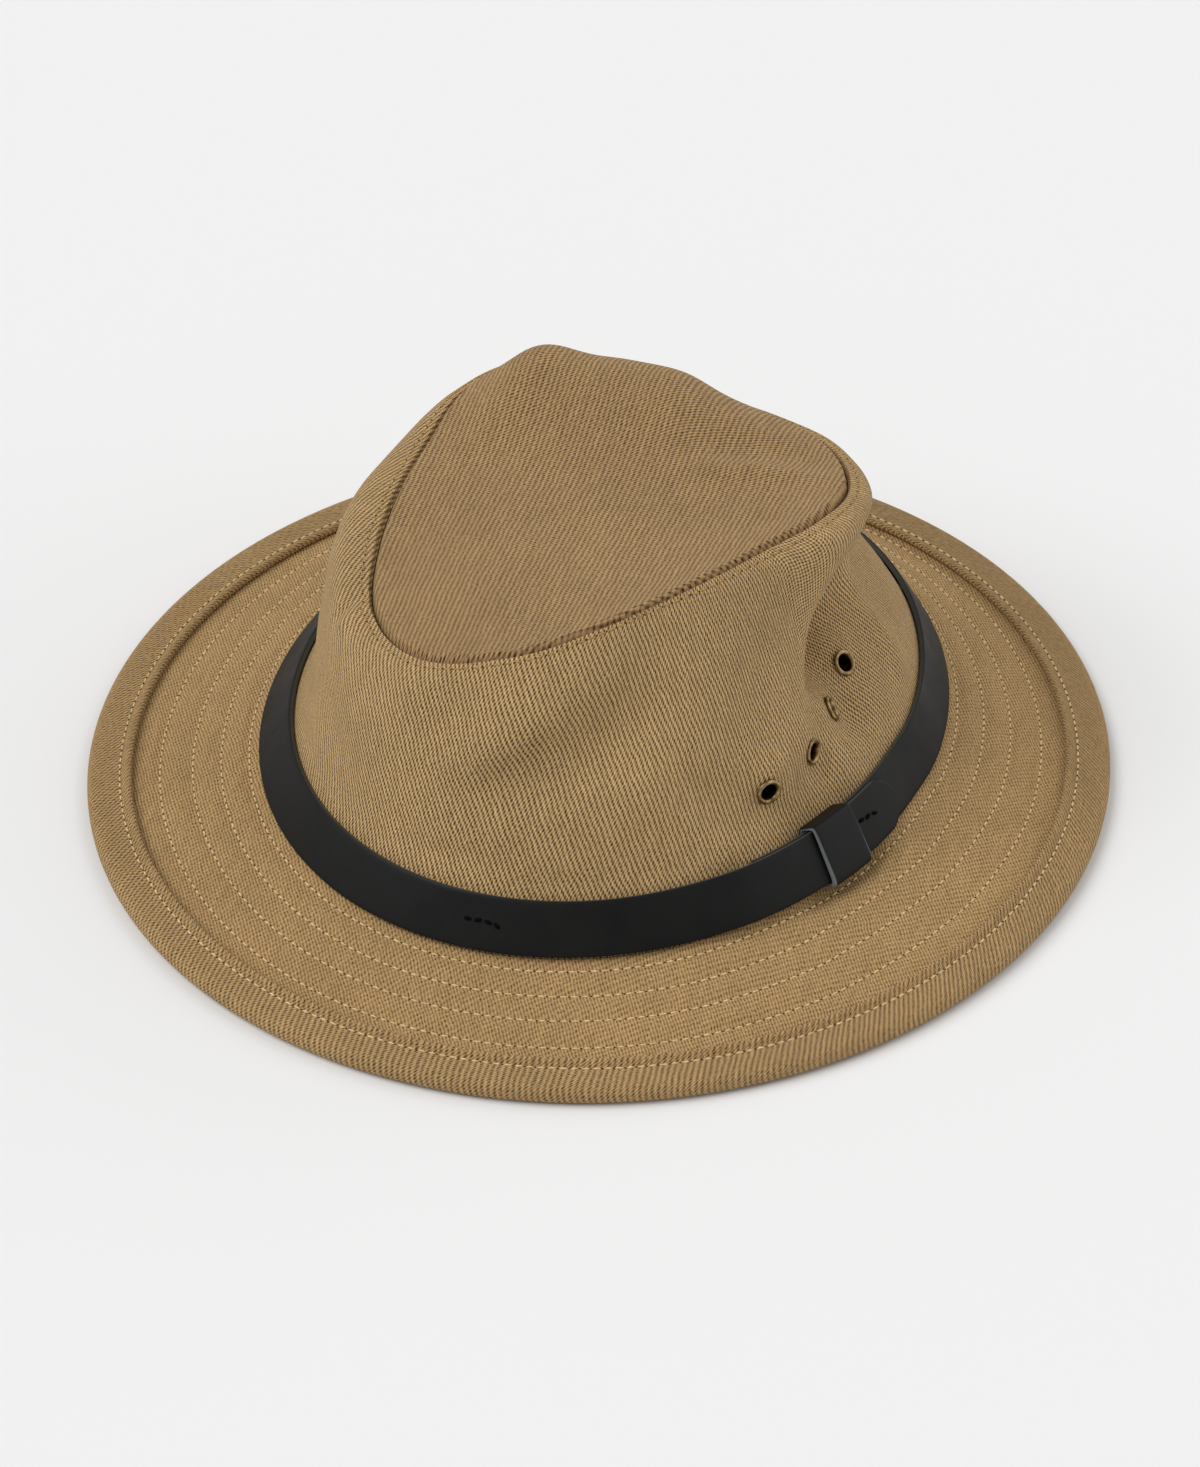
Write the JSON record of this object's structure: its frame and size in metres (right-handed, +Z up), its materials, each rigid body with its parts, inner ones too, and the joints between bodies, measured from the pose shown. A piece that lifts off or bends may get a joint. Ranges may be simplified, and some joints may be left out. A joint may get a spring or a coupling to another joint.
{
  "type": "packer hat",
  "caption": "Soft brushed twill hat with a dented crown, a sewn-in tip, a stitched sloping brim with a bound edge, a black leather strap and brass vents.",
  "frame": {"origin": "middle of the brim's outline, on the surface that the hat stands on", "axes": "+Z up through the crown, -Y the hat's front, +X the wearer's left"},
  "size_m": [0.2652, 0.277, 0.091],
  "materials": {
    "twill": "brushed cotton twill, matt",
    "leather": "black leather, smooth, half matt",
    "brass": "aged brass, dull"
  },
  "bodies": {
    "root": {"crown_side": "twill", "crown_tip": "twill", "brim": "twill", "brim_binding": "twill", "hat_band": "leather", "band_keeper": "leather", "eyelet_left_1": "brass", "eyelet_left_2": "brass", "eyelet_left_3": "brass", "eyelet_left_4": "brass", "eyelet_right_1": "brass", "eyelet_right_2": "brass", "eyelet_right_3": "brass", "eyelet_right_4": "brass"}
  },
  "joints": []
}
